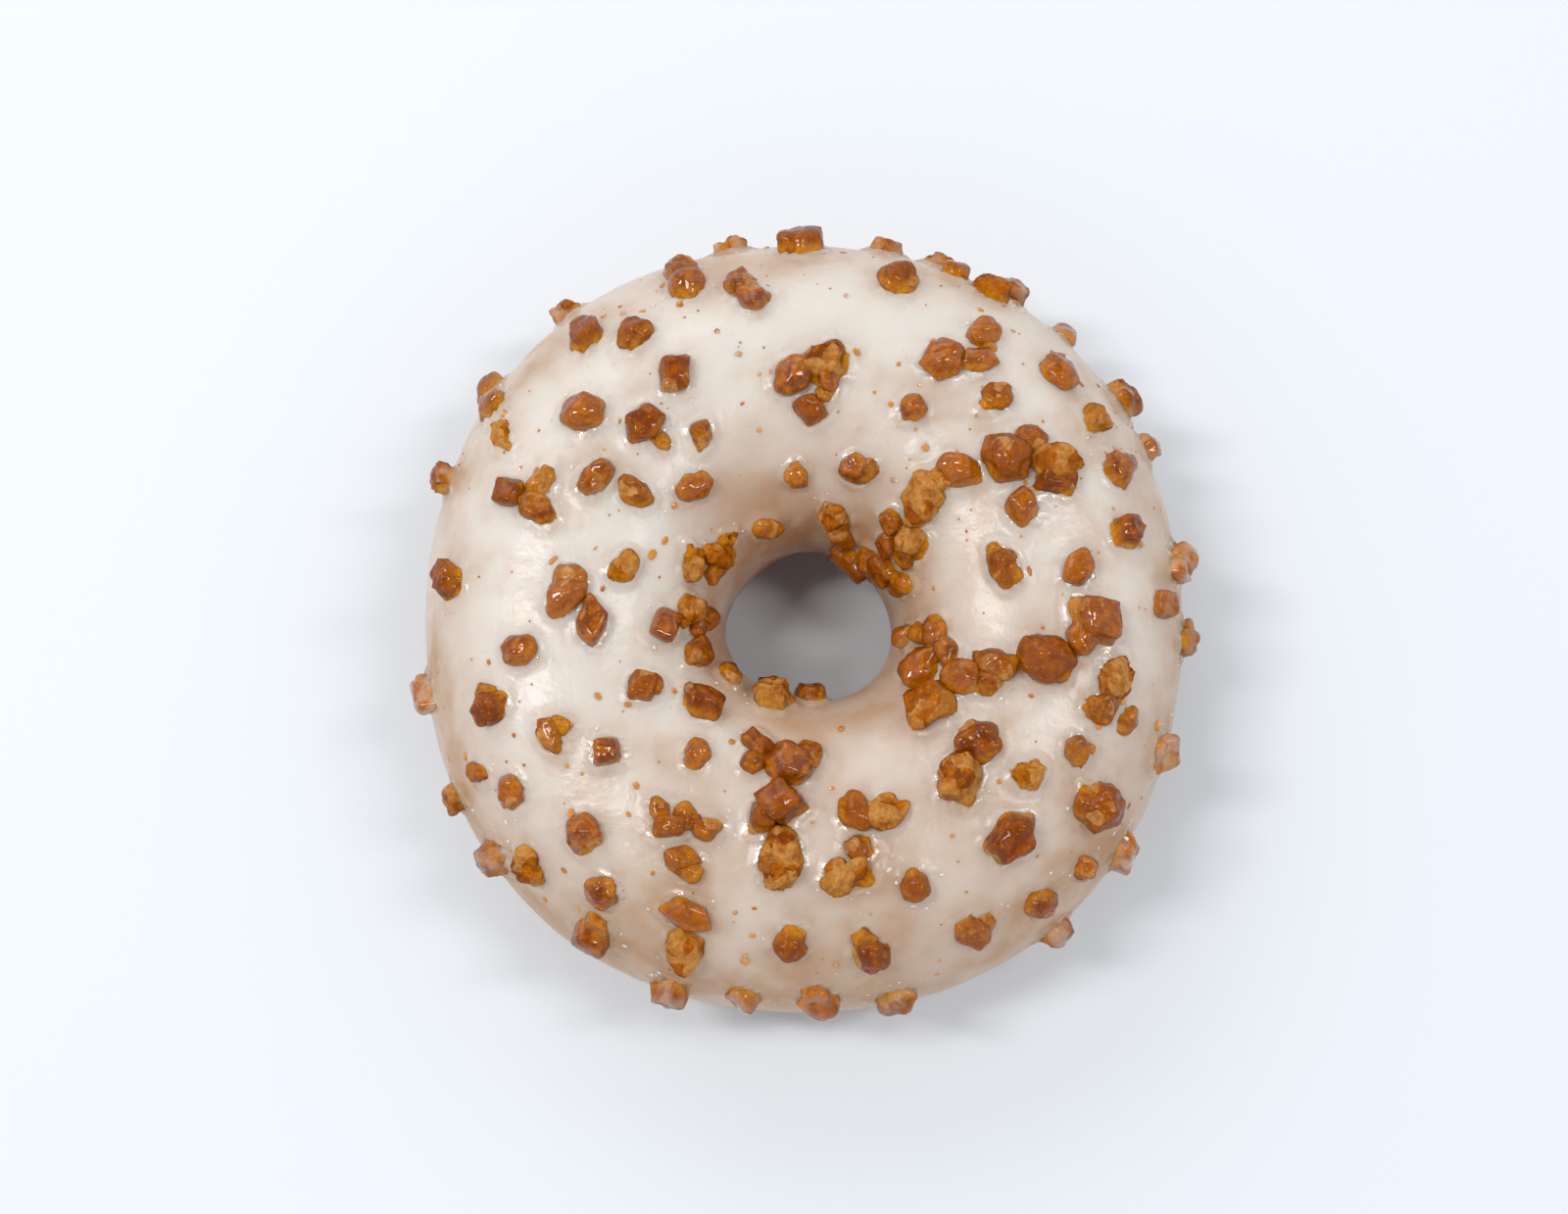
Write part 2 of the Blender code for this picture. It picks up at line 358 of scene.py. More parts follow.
def point(bearing, lean, cover=COVER):
    """One point of the ring."""
    return Vector(skin(bearing, lean, cover))


def seat(bearing, lean, lie):
    """Where a lump sits: its long side turned by its lie, its third axis straight out of the icing."""
    around = (point(bearing + 1, lean) - point(bearing - 1, lean)).normalized()
    over = point(bearing, lean + 1) - point(bearing, lean - 1)
    out = around.cross(over).normalized()
    over = out.cross(around)
    turned = Matrix((around, over, out)).transposed().to_4x4() @ Matrix.Rotation(lie, 4, "Z")
    return Matrix.Translation(point(bearing, lean)) @ turned


def clump_lumps(draw):
    """The lumps of the clumps that stand out, each next to one before it."""
    lumps = []
    for bearing, lean, count, length in CLUMPS:
        side = draw.uniform(0, 360)
        for _ in range(count):
            lumps.append((bearing, lean, length))
            side += draw.uniform(*CLUMP_TURN)
            stride = length * CLUMP_SPREAD
            middle = math.hypot(*point(bearing, lean).xy)
            bearing += math.degrees(stride * math.cos(math.radians(side)) / middle)
            lean += math.degrees(stride * math.sin(math.radians(side)) / TOP_RISE)
            length *= CLUMP_SHRINK
    return lumps


def scattered_lumps(draw, lumps):
    """The other lumps, the largest first, each at the clearest of a few places drawn at random."""
    lengths = sorted((draw.uniform(*LENGTHS) for _ in range(SCATTERED_LUMPS)), reverse=True)
    taken = [(point(bearing, lean), length) for bearing, lean, length in lumps]
    for length in lengths:
        best_room = 0
        for _ in range(CANDIDATES):
            bearing = draw.uniform(0, 360)
            lean = draw.uniform(LOWEST_LEAN, HIGHEST_LEAN)
            place = point(bearing, lean)
            room = min((place - other).length - (length + other_length) / 2 for other, other_length in taken)
            room *= RIM_WEIGHT + (1 - RIM_WEIGHT) * math.sin(math.radians(lean))
            if room > best_room:
                best_room = room
                best = (bearing, lean, length)
        lumps.append(best)
        taken.append((point(best[0], best[1]), length))
    return lumps


def add_lump(draw, bearing, lean, length, lump_look, bm):
    """One lump's uneven corners, joined to the others, with its look kept on each corner."""
    width = length * draw.uniform(*NARROWNESS)
    half_height = width * HALF_HEIGHT
    if draw.random() < CHUNK_SHARE:
        corners = bmesh.ops.create_cone(
            bm, cap_ends=True, segments=draw.randint(*CHUNK_SIDES),
            radius1=1, radius2=draw.uniform(*CHUNK_TOP), depth=2 * CHUNK_HALF_DEPTH)["verts"]
        tilt = draw.uniform(0, CHUNK_TILT)
    else:
        corners = bmesh.ops.create_icosphere(bm, subdivisions=1, radius=1)["verts"]
        tilt = draw.uniform(0, ROUND_TILT)
    tumble = Matrix.Rotation(draw.uniform(0, math.tau), 3, "Z") @ Matrix.Rotation(tilt, 3, "X")
    for vertex in corners:
        corner = tumble @ vertex.co * REACH * draw.uniform(1 - ROUGHNESS, 1 + ROUGHNESS)
        height = max((corner.z + LIFT) * half_height, -SINK)
        vertex.co = (corner.x * length / 2, corner.y * width / 2, height)
        vertex[bm.verts.layers.float["height"]] = height
        for name, value in lump_look.items():
            vertex[bm.verts.layers.float[name]] = value
    bmesh.ops.transform(bm, matrix=seat(bearing, lean, draw.uniform(0, math.pi)), verts=corners)


# The finish of a lump, from its few corners: faces made finer, knocked out of true, melted round
# as far as the lump has melted, and grained.
finish, finish_in, finish_out = new_group("lump_finish", "GeometryNodeTree", (
    ("INPUT", "Geometry", "NodeSocketGeometry", None),
    ("INPUT", "Levels", "NodeSocketInt", 3),
    ("INPUT", "Crag Size", "NodeSocketFloat", 0.0016),
    ("INPUT", "Crag Depth", "NodeSocketFloat", 0.0006),
    ("INPUT", "Melt Steps", "NodeSocketInt", 10),
    ("INPUT", "Grain Size", "NodeSocketFloat", 0.0004),
    ("INPUT", "Grain Depth", "NodeSocketFloat", 0.00006),
    ("INPUT", "Swell", "NodeSocketFloat", 0.0002),
    ("INPUT", "Material", "NodeSocketMaterial", None),
    ("OUTPUT", "Geometry", "NodeSocketGeometry", None)))


def push_out(tree, geometry, size, depth, shift):
    """Moves the surface in and out along its normals by noise of a size and a depth."""
    scale = add(tree, "ShaderNodeMath", operation="DIVIDE", inputs={0: 1.0, 1: size}).outputs[0]
    where = add(tree, "ShaderNodeVectorMath", operation="ADD", inputs={
        0: tree.nodes.new("GeometryNodeInputPosition").outputs[0], 1: (shift, shift, shift)}).outputs[0]
    field = add(tree, "ShaderNodeTexNoise", inputs={"Vector": where, "Scale": scale, "Detail": 2.0})
    centred = add(tree, "ShaderNodeMath", operation="SUBTRACT", inputs={0: field.outputs["Fac"], 1: 0.5})
    reach = add(tree, "ShaderNodeMath", operation="MULTIPLY", inputs={0: centred.outputs[0], 1: depth})
    offset = add(tree, "ShaderNodeVectorMath", operation="SCALE", inputs={
        0: tree.nodes.new("GeometryNodeInputNormal").outputs[0], "Scale": reach.outputs[0]})
    return add(tree, "GeometryNodeSetPosition", inputs={
        "Geometry": geometry, "Offset": offset.outputs[0]}).outputs[0]


finer = add(finish, "GeometryNodeSubdivideMesh", inputs={
    "Mesh": finish_in.outputs["Geometry"], "Level": finish_in.outputs["Levels"]}).outputs[0]
craggy = push_out(finish, finer, finish_in.outputs["Crag Size"], finish_in.outputs["Crag Depth"], 0.01)
here = finish.nodes.new("GeometryNodeInputPosition").outputs[0]
rounded = add(finish, "GeometryNodeBlurAttribute", data_type="FLOAT_VECTOR", inputs={
    "Value": here, "Iterations": finish_in.outputs["Melt Steps"]})
pull = add(finish, "ShaderNodeVectorMath", operation="SUBTRACT", inputs={0: rounded.outputs[0], 1: here})
melt = add(finish, "GeometryNodeInputNamedAttribute", data_type="FLOAT", inputs={"Name": "melt"})
melting = add(finish, "ShaderNodeVectorMath", operation="SCALE", inputs={
    0: pull.outputs[0], "Scale": melt.outputs[0]})
melted = add(finish, "GeometryNodeSetPosition", inputs={
    "Geometry": craggy, "Offset": melting.outputs[0]}).outputs[0]
fuller = add(finish, "ShaderNodeVectorMath", operation="SCALE", inputs={
    0: finish.nodes.new("GeometryNodeInputNormal").outputs[0], "Scale": finish_in.outputs["Swell"]})
full = add(finish, "GeometryNodeSetPosition", inputs={
    "Geometry": melted, "Offset": fuller.outputs[0]}).outputs[0]
grained = push_out(finish, full, finish_in.outputs["Grain Size"], finish_in.outputs["Grain Depth"], 0.03)
smooth = add(finish, "GeometryNodeSetShadeSmooth", inputs={"Geometry": grained}).outputs[0]
single = add(finish, "GeometryNodeRealizeInstances", inputs={"Geometry": smooth}).outputs[0]
coloured = add(finish, "GeometryNodeSetMaterial", inputs={
    "Geometry": single, "Material": finish_in.outputs["Material"]}).outputs[0]
finish.links.new(coloured, finish_out.inputs["Geometry"])


def run_nodes(thing, group, values):
    """Puts a geometry node group to work on a piece and turns the result into its plain mesh."""
    modifier = thing.modifiers.new(group.name, "NODES")
    modifier.node_group = group
    for socket in group.interface.items_tree:
        if socket.in_out == "INPUT" and socket.name in values:
            modifier[socket.identifier] = values[socket.name]
    graph = bpy.context.evaluated_depsgraph_get()
    mesh = bpy.data.meshes.new_from_object(
        thing.evaluated_get(graph), preserve_all_data_layers=True, depsgraph=graph)
    thing.modifiers.clear()
    thing.data = mesh
    mesh.name = thing.name


draw = random.Random(SEED)
look = random.Random(SEED + 1)
lumps = scattered_lumps(draw, clump_lumps(draw))
kind_meshes = {kind: bmesh.new() for kind in KINDS}
for bm in kind_meshes.values():
    for name in ("height", "melt", "tone", "film"):
        bm.verts.layers.float.new(name)
for bearing, lean, length in lumps:
    kind = look.choices(KINDS, KIND_SHARES)[0]
    lump_look = {
        "melt": look.uniform(*KIND_MELTS[kind]),
        "tone": look.random(),
        "film": look.uniform(*FILM_AMOUNTS) if lean < FILM_BELOW else 0.0}
    add_lump(draw, bearing, lean, length, lump_look, kind_meshes[kind])
    if look.random() < KNOB_SHARE:
        side = look.uniform(0, math.tau)
        stride = math.degrees(KNOB_STRIDE * length)
        knob_bearing = bearing + stride * math.cos(side) / math.hypot(*point(bearing, lean).xy)
        knob_lean = lean + stride * math.sin(side) / TOP_RISE
        knob_length = length * look.uniform(*KNOB_SIZES)
        add_lump(look, knob_bearing, knob_lean, knob_length, lump_look, kind_meshes[kind])

# What a lump looks like: deeper inside, lighter low down where it is thin, with a painted glow of light
# shining through there, and painted shade along the edges it shows edge on, with frosted broken faces
# and specks. Those low on the ring have a film of icing over them.
AMBER = (0.46, 0.119, 0.001, 1)
AMBER_BRIGHT = (0.66, 0.240, 0.001, 1)
AMBER_DEEP = (0.145, 0.023, 0.001, 1)
TOFFEE_BROWN = (0.355, 0.084, 0.001, 1)
TOFFEE_DARK = (0.145, 0.022, 0.001, 1)
GOLD = (0.64, 0.25, 0.006, 1)
FROSTED = (0.58, 0.27, 0.065, 1)
FILM = (0.62, 0.43, 0.32, 1)
DEEP_PATCHES = (0.0014, 0.36, 0.62)
TONES = (0.35, 0.85)
CLEAR_GLOW_HEIGHTS = (0.0003, 0.0019)
CLEAR_GLOW_SHARES = (0.9, 0.0)
CLEAR_GLOW_PATCHES = (0.0022, 0.32, 0.55)
EDGE_SHADE_FADE = (0.32, 0.85)
EDGE_SHADE_SHARES = (0.0, 0.85)
FACE_SIZE = 0.0019
FACE_RELIEF = 0.00012
FROST_FADE = 0.04
FROST_PATCHES = (0.0012, 0.35, 0.65)
FROST_SHARES = (0.35, 0.9)
DARK_PATCHES = (0.0005, 0.42, 0.66)
DARK_SHARE = 0.36
SPECK_PATCHES = (0.00042, 0.60, 0.70)
SPECK_SHARE = 0.6
FILM_PATCHES = (0.002, 0.40, 0.65)
FILM_SHARE = 0.75
DULL_PATCHES = (0.0010, 0.40, 0.60)
LUMP_GRAINS = ((0.0003, 0.00003), (0.0007, 0.00010))
KIND_FINISHES = {
    "amber": {"Crag Depth": 0.0015, "Melt Steps": 5, "Grain Depth": 0.0002},
    "brown": {"Crag Depth": 0.0017, "Melt Steps": 3, "Grain Depth": 0.0003},
    "dry": {"Crag Depth": 0.0020, "Melt Steps": 2, "Grain Depth": 0.0005}}
KIND_LOOKS = {
    "amber": {
        "body": AMBER, "deep": AMBER_DEEP, "frost": 0.05, "roughness": (0.08, 0.20),
        "wetness": 0.75, "cloud": 0.20},
    "brown": {
        "body": TOFFEE_BROWN, "deep": TOFFEE_DARK, "frost": 0.12, "roughness": (0.12, 0.30),
        "wetness": 0.42, "cloud": 0.10},
    "dry": {
        "body": AMBER, "deep": TOFFEE_DARK, "frost": 0.60, "roughness": (0.25, 0.55),
        "wetness": 0.06, "cloud": 0.10}}


def lump_material(name, body, deep, frost, roughness, wetness, cloud):
    """One kind of toffee: its colours, how much of it is frosted, and how glossy and cloudy it is."""
    made, tree, shader, place = new_material(name)
    tone = remap(tree, attribute(tree, "tone"), 0.0, 1.0, *TONES)
    inside = product(tree, patch_mask(tree, place, *DEEP_PATCHES), tone)
    colour = blend_colour(tree, inside, body, deep)
    # Painted glow: brighter amber low down, where the toffee is thin and clear, for light shining through
    # it.
    low = remap(tree, attribute(tree, "height"), *CLEAR_GLOW_HEIGHTS, *CLEAR_GLOW_SHARES)
    clear = product(tree, low, patch_mask(tree, place, *CLEAR_GLOW_PATCHES))
    colour = blend_colour(tree, clear, colour, AMBER_BRIGHT)
    # Painted shade: darker amber along the edges that are seen edge on.
    facing = add(tree, "ShaderNodeLayerWeight", inputs={"Blend": 0.5}).outputs["Facing"]
    colour = blend_colour(tree, remap(tree, facing, *EDGE_SHADE_FADE, *EDGE_SHADE_SHARES), colour, AMBER_DEEP)
    faces = add(tree, "ShaderNodeTexVoronoi", inputs={
        "Vector": place, "Scale": 1 / FACE_SIZE, "Randomness": 1.0})
    drawn = add(tree, "ShaderNodeSeparateColor", inputs={0: faces.outputs["Color"]}).outputs[0]
    frosted = remap(tree, drawn, 1 - frost, 1 + FROST_FADE - frost)
    frosted = product(tree, frosted, patchy(tree, place, FROST_PATCHES, *FROST_SHARES))
    colour = blend_colour(tree, frosted, colour, FROSTED)
    dark = product(tree, patch_mask(tree, place, *DARK_PATCHES), DARK_SHARE)
    colour = blend_colour(tree, dark, colour, TOFFEE_DARK)
    specks = product(tree, patch_mask(tree, place, *SPECK_PATCHES), SPECK_SHARE)
    colour = blend_colour(tree, specks, colour, GOLD)
    film = product(tree, attribute(tree, "film"), patch_mask(tree, place, *FILM_PATCHES))
    colour = blend_colour(tree, product(tree, film, FILM_SHARE), colour, FILM)
    set_inputs(tree, shader, {
        "Base Color": colour, "Roughness": patchy(tree, place, DULL_PATCHES, *roughness),
        "Specular IOR Level": 0.06, "Coat Weight": wetness, "Coat Roughness": 0.03,
        "Subsurface Weight": cloud, "Subsurface Radius": (1.0, 0.35, 0.06),
        "Subsurface Scale": 0.0014})
    facets = product(tree, faces.outputs["Distance"], FACE_RELIEF)
    bump(tree, shader, combine(tree, facets, two_grains(tree, place, *LUMP_GRAINS)))
    return made


toffee_places = []
toffee_faces = []
for kind in KINDS:
    name = "toffee_" + kind
    piece = bpy.data.objects.new(name, bpy.data.meshes.new(name))
    bpy.context.scene.collection.objects.link(piece)
    kind_meshes[kind].to_mesh(piece.data)
    kind_meshes[kind].free()
    run_nodes(piece, finish, KIND_FINISHES[kind] | {
        "Levels": 3, "Crag Size": 0.0019, "Grain Size": 0.0008, "Swell": 0.00025,
        "Material": lump_material(name, **KIND_LOOKS[kind])})
    first = len(toffee_places)
    toffee_places += [v.co.copy() for v in piece.data.vertices]
    toffee_faces += [[first + index for index in face.vertices] for face in piece.data.polygons]
    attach(piece, "root")
    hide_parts("icing")
toffee_surface = BVHTree.FromPolygons(toffee_places, toffee_faces)

# The icing: boiled sugar glaze that set as a thin, slightly see-through skin. It is thickest over
# the top, thins down the sides, where the dough shows through, and ends in a rounded wavy hem.
# It has crept up the sides of every lump of toffee.
OUTER_HEM = -8
HOLE_HEM = 189
OUTER_HEM_WAVES = ((2, 2.0, 90), (5, 2.0, 20), (9, 1.5, 65))
HOLE_HEM_WAVES = ((3, 2.0, 30), (5, 1.5, 80))
FINE_HEM_WAVES = ((17, 0.8, 10), (29, 0.6, 50), (43, 0.4, 5))
ICING_SEGMENTS = (600, 160)
UNDERSIDE_ROWS = 32
HEM_WIDTH = 0.0016
UNDERSIDE_COVER = -0.0001
FLOW_SIZE = 0.011
FLOW_DEPTH = 0.00022
FLOW_SHIFT = 1.7
RIPPLE_SIZE = 0.0035
RIPPLE_DEPTH = 0.00005
RIPPLE_SHIFT = 5.2
CREEP_HEIGHT = 0.00055
CREEP_WIDTH = 0.00043
STAIN_SHADE_WIDTH = 0.0013
ICING = (0.78, 0.702, 0.625, 1)
ICING_THIN = (0.47, 0.265, 0.130, 1)
ICING_STAIN_SHADE = (0.56, 0.34, 0.22, 1)
ICING_HEM = (0.48, 0.31, 0.15, 1)
HOLE_THIN = (0.46, 0.195, 0.055, 1)
# How thin the icing runs round the ring, most on the front side about bearing 275, with painted shade there
# too.
THIN_MEAN = 0.10
THIN_AND_SHADE_WAVES = ((1, 0.22, 278), (2, 0.12, 275))
# Thinner icing and barer dough in the hole, most of all on its north wall, where they are partly painted
# shade.
HOLE_THIN_MEAN = 0.12
HOLE_THIN_SHADE_WAVES = ((1, 0.28, 55),)
HOLE_THIN_FROM = 88
HOLE_THIN_SPAN = 30
HOLE_BARE_MEAN = 0.76
HOLE_BARE_SHADE_WAVES = ((1, 0.24, 80),)
HEM_BEARING = 265
HEM_NARROWNESS = 4

icing, bearing, row = plain_ring("icing_glaze", ICING_SEGMENTS)
top_rows = ICING_SEGMENTS[1] - UNDERSIDE_ROWS
outer_hem = OUTER_HEM + swell(OUTER_HEM_WAVES, bearing) + swell(FINE_HEM_WAVES, bearing)
hole_hem = HOLE_HEM + swell(HOLE_HEM_WAVES, bearing)
is_top = row <= top_rows
share = np.where(is_top, row / top_rows, 1 - (row - top_rows) / UNDERSIDE_ROWS)
lean = outer_hem + (hole_hem - outer_hem) * share
from_hem = np.minimum(lean - outer_hem, hole_hem - lean) * math.radians(1) * TOP_RISE
rounding = np.sqrt(1 - (1 - np.clip(from_hem / HEM_WIDTH, 0, 1)) ** 2)
bare = skin(bearing, lean, COVER)
flow = FLOW_DEPTH * ripple(bare, FLOW_SIZE, FLOW_SHIFT)
flow = flow + RIPPLE_DEPTH * ripple(bare, RIPPLE_SIZE, RIPPLE_SHIFT)
near = np.array([toffee_surface.find_nearest(place)[3] for place in bare])
creep = CREEP_HEIGHT * np.exp(-(near / CREEP_WIDTH) ** 2)
top_cover = GAP / 2 + (COVER - GAP / 2 + flow) * rounding + creep * rounding
set_places(icing, skin(bearing, lean, np.where(is_top, top_cover, UNDERSIDE_COVER)))
set_attribute(icing, "lean", lean)
set_attribute(icing, "flow", flow / FLOW_DEPTH)
# Partly painted shade: the hole's north wall made browner.
hole_run_and_shade = HOLE_THIN_MEAN + swell(HOLE_THIN_SHADE_WAVES, bearing)
hole_run_and_shade = hole_run_and_shade * np.clip((lean - HOLE_THIN_FROM) / HOLE_THIN_SPAN, 0, 1)
# Thinner icing round the ring and in the hole, partly painted shade on the front side and on the hole's
# north wall.
set_attribute(icing, "run_and_shade", THIN_MEAN + swell(THIN_AND_SHADE_WAVES, bearing) + hole_run_and_shade)
set_attribute(icing, "bare_and_shaded_wall", HOLE_BARE_MEAN + swell(HOLE_BARE_SHADE_WAVES, bearing))
set_attribute(icing, "hem", np.clip(np.cos(np.radians(bearing - HEM_BEARING)), 0, 1) ** HEM_NARROWNESS)
# Round each lump: a caramel stain, with painted shadow and painted bounced toffee colour in it.
set_attribute(icing, "stain_and_shade", np.exp(-near / STAIN_SHADE_WIDTH))
set_attribute(icing, "wet", creep / CREEP_HEIGHT)

# How the icing looks: milky where it is thick, tan where it is thin, most of all down the sides and
# in the hole, darker with painted shade on the front side and the hole's north wall, stained round
# the toffee with painted shadow and painted bounced toffee colour there too, and wet and glossy where
# it has crept up a lump.
SIDE_THINNING = (74, 10, 0.0, 0.85)
HOLE_THINNING = (108, 150, 0.0, 0.45)
FLOW_THINNING = (0.1, -0.9, 0.0, 0.30)
UNEVEN_PATCHES = (0.012, 0.30, 0.74)
UNEVEN_SHARES = (0.62, 1.30)
THIN_PATCHES = (0.009, 0.46, 0.82)
THIN_PATCH_SHARE = 0.50
THIN_EASE = 0.15
IN_HOLE = (125, 172, 0.0, 1.0)
IN_HOLE_PATCHES = (0.006, 0.35, 0.65)
IN_HOLE_SHARES = (0.40, 0.95)
STAIN_SHADE_PATCHES = (0.003, 0.4, 0.7)
STAIN_SHADE_SHARES = (0.25, 0.6)
HEM_TINT = (12, 6, 0.0, 0.65)
WET_ROUGHNESS = (0.1, 0.7, 0.30, 0.08)
DIMPLE_PATCHES = (0.007, 0.55, 0.68)
DIMPLE_GRAIN = (0.0011, 0.00016)
ICING_GRAINS = ((0.0009, 0.00003), (0.004, 0.00022))

glaze, tree, shader, place = new_material("sugar_glaze")
side = remap(tree, attribute(tree, "lean"), *SIDE_THINNING)
hole_side = remap(tree, attribute(tree, "lean"), *HOLE_THINNING)
hollow = remap(tree, attribute(tree, "flow"), *FLOW_THINNING)
thin = combine(tree, combine(tree, side, hole_side), hollow)
thin = combine(tree, thin, attribute(tree, "run_and_shade"))
thin = product(tree, thin, patchy(tree, place, UNEVEN_PATCHES, *UNEVEN_SHARES))
thin_patches = product(tree, patch_mask(tree, place, *THIN_PATCHES), THIN_PATCH_SHARE)
thin = combine(tree, thin, thin_patches)
thin = combine(tree, thin, product(tree, product(tree, thin, thin), THIN_EASE), "SUBTRACT")
colour = blend_colour(tree, thin, ICING, ICING_THIN)
in_hole = remap(tree, attribute(tree, "lean"), *IN_HOLE)
in_hole = product(tree, in_hole, patchy(tree, place, IN_HOLE_PATCHES, *IN_HOLE_SHARES))
in_hole = product(tree, in_hole, attribute(tree, "bare_and_shaded_wall"))
colour = blend_colour(tree, in_hole, colour, HOLE_THIN)
# A caramel stain round each lump, with painted shadow and painted bounced toffee colour.
stain_and_shade = product(tree, attribute(tree, "stain_and_shade"), patchy(tree, place, STAIN_SHADE_PATCHES, *STAIN_SHADE_SHARES))
colour = blend_colour(tree, stain_and_shade, colour, ICING_STAIN_SHADE)
hem = product(tree, attribute(tree, "hem"), remap(tree, attribute(tree, "lean"), *HEM_TINT))
set_inputs(tree, shader, {
    "Base Color": blend_colour(tree, hem, colour, ICING_HEM),
    "Roughness": remap(tree, attribute(tree, "wet"), *WET_ROUGHNESS), "Subsurface Weight": 0.7,
    "Subsurface Radius": (1.0, 0.62, 0.42), "Subsurface Scale": 0.0026})
dimpled = patch_mask(tree, place, *DIMPLE_PATCHES)
dimples = product(tree, dimpled, grain_height(tree, place, *DIMPLE_GRAIN))
bump(tree, shader, combine(tree, dimples, two_grains(tree, place, *ICING_GRAINS)))
icing.data.materials.append(glaze)
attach(icing, "root")
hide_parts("icing")

# Crumbs of the same toffee, finer than a millimetre, that fell on the icing with the lumps. They
# are broken, so they have a few flat faces, and here and there they have sunk in and look paler.
CRUMB_COUNT = 300
CRUMB_SIZES = (0.00016, 0.0006)
CRUMB_LEANS = (20, 140)
CRUMB_SUNK = (0.66, 0.40, 0.17, 1)
CRUMB_PATCHES = (0.004, 0.4, 0.6)
SUNK_PATCHES = (0.003, 0.45, 0.65)
SUNK_SHARE = 0.65
STRETCH = ((0.7, 0.7, 0.35), (1.5, 1.1, 0.7))
STRETCH_SEED = 9
SIZE_SKEW = 3.0
SIZE_SEED = 5
scatter, scatter_in, scatter_out = new_group("crumb_scatter", "GeometryNodeTree", (
    ("INPUT", "Geometry", "NodeSocketGeometry", None),
    ("INPUT", "Density", "NodeSocketFloat", 20000.0),
    ("INPUT", "Smallest", "NodeSocketFloat", 0.0002),
    ("INPUT", "Largest", "NodeSocketFloat", 0.0006),
    ("INPUT", "Levels", "NodeSocketInt", 1),
    ("INPUT", "Smooth", "NodeSocketBool", False),
    ("INPUT", "Seed", "NodeSocketInt", 3),
    ("INPUT", "Material", "NodeSocketMaterial", None),
    ("OUTPUT", "Geometry", "NodeSocketGeometry", None)))
spots = add(scatter, "GeometryNodeDistributePointsOnFaces", distribute_method="RANDOM", inputs={
    "Mesh": scatter_in.outputs["Geometry"], "Density": scatter_in.outputs["Density"],
    "Seed": scatter_in.outputs["Seed"]})
ball = add(scatter, "GeometryNodeMeshIcoSphere", inputs={
    "Radius": 1.0, "Subdivisions": scatter_in.outputs["Levels"]})
spread = add(scatter, "FunctionNodeRandomValue", data_type="FLOAT", inputs={
    2: 0.0, 3: 1.0, "Seed": SIZE_SEED})
skewed = add(scatter, "ShaderNodeMath", operation="POWER", inputs={0: spread.outputs[1], 1: SIZE_SKEW})
size = add(scatter, "ShaderNodeMapRange", inputs={
    "Value": skewed.outputs[0], "To Min": scatter_in.outputs["Smallest"],
    "To Max": scatter_in.outputs["Largest"]})
stretch = add(scatter, "FunctionNodeRandomValue", data_type="FLOAT_VECTOR", inputs={
    0: STRETCH[0], 1: STRETCH[1], "Seed": STRETCH_SEED})
scaled = add(scatter, "ShaderNodeVectorMath", operation="SCALE", inputs={
    0: stretch.outputs[0], "Scale": size.outputs["Result"]})
placed = add(scatter, "GeometryNodeInstanceOnPoints", inputs={
    "Points": spots.outputs["Points"], "Instance": ball.outputs["Mesh"],
    "Rotation": spots.outputs["Rotation"], "Scale": scaled.outputs[0]})
single = add(scatter, "GeometryNodeRealizeInstances", inputs={"Geometry": placed.outputs[0]}).outputs[0]
smooth = add(scatter, "GeometryNodeSetShadeSmooth", inputs={
    "Geometry": single, "Shade Smooth": scatter_in.outputs["Smooth"]}).outputs[0]
coloured = add(scatter, "GeometryNodeSetMaterial", inputs={
    "Geometry": smooth, "Material": scatter_in.outputs["Material"]}).outputs[0]
scatter.links.new(coloured, scatter_out.inputs["Geometry"])

crumb_toffee, tree, shader, place = new_material("crumb_toffee")
colour = blend_colour(tree, patch_mask(tree, place, *CRUMB_PATCHES), AMBER_BRIGHT, AMBER)
sunk = patchy(tree, place, SUNK_PATCHES, 0.0, SUNK_SHARE)
set_inputs(tree, shader, {
    "Base Color": blend_colour(tree, sunk, colour, CRUMB_SUNK), "Roughness": 0.25,
    "Coat Weight": 0.8, "Coat Roughness": 0.08})

# The blisters: air that rose through the wet icing close to the lumps and left small round beads
# of glaze that glint.
BLISTER_COUNT = 420
BLISTER_SIZES = (0.00010, 0.00026)
BLISTER_REACH = 0.0016
BLISTER_LEANS = (10, 150)
wet_glaze, tree, shader, place = new_material("wet_glaze")
set_inputs(tree, shader, {"Base Color": ICING, "Roughness": 0.08})
crumb_bed = is_top & (lean > CRUMB_LEANS[0]) & (lean < CRUMB_LEANS[1])
blister_bed = is_top & (lean > BLISTER_LEANS[0]) & (lean < BLISTER_LEANS[1])
blister_bed = blister_bed & (near > CREEP_WIDTH) & (near < BLISTER_REACH)
for name, material, count, sizes, levels, seed, in_bed in (
        ("toffee_crumbs", crumb_toffee, CRUMB_COUNT, CRUMB_SIZES, 1, 4, crumb_bed),
        ("icing_blisters", wet_glaze, BLISTER_COUNT, BLISTER_SIZES, 2, 6, blister_bed)):
    bed = bpy.data.meshes.new(name + "_bed")
    bed.from_pydata([v.co for v in icing.data.vertices], [], [
        face.vertices[:] for face in icing.data.polygons if in_bed[face.vertices[0]]])
    scattered = bpy.data.objects.new(name, bed)
    bpy.context.scene.collection.objects.link(scattered)
    run_nodes(scattered, scatter, {
        "Density": count / sum(face.area for face in bed.polygons), "Smallest": sizes[0],
        "Largest": sizes[1], "Levels": levels, "Smooth": levels > 1, "Seed": seed,
        "Material": material})
    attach(scattered, "root")

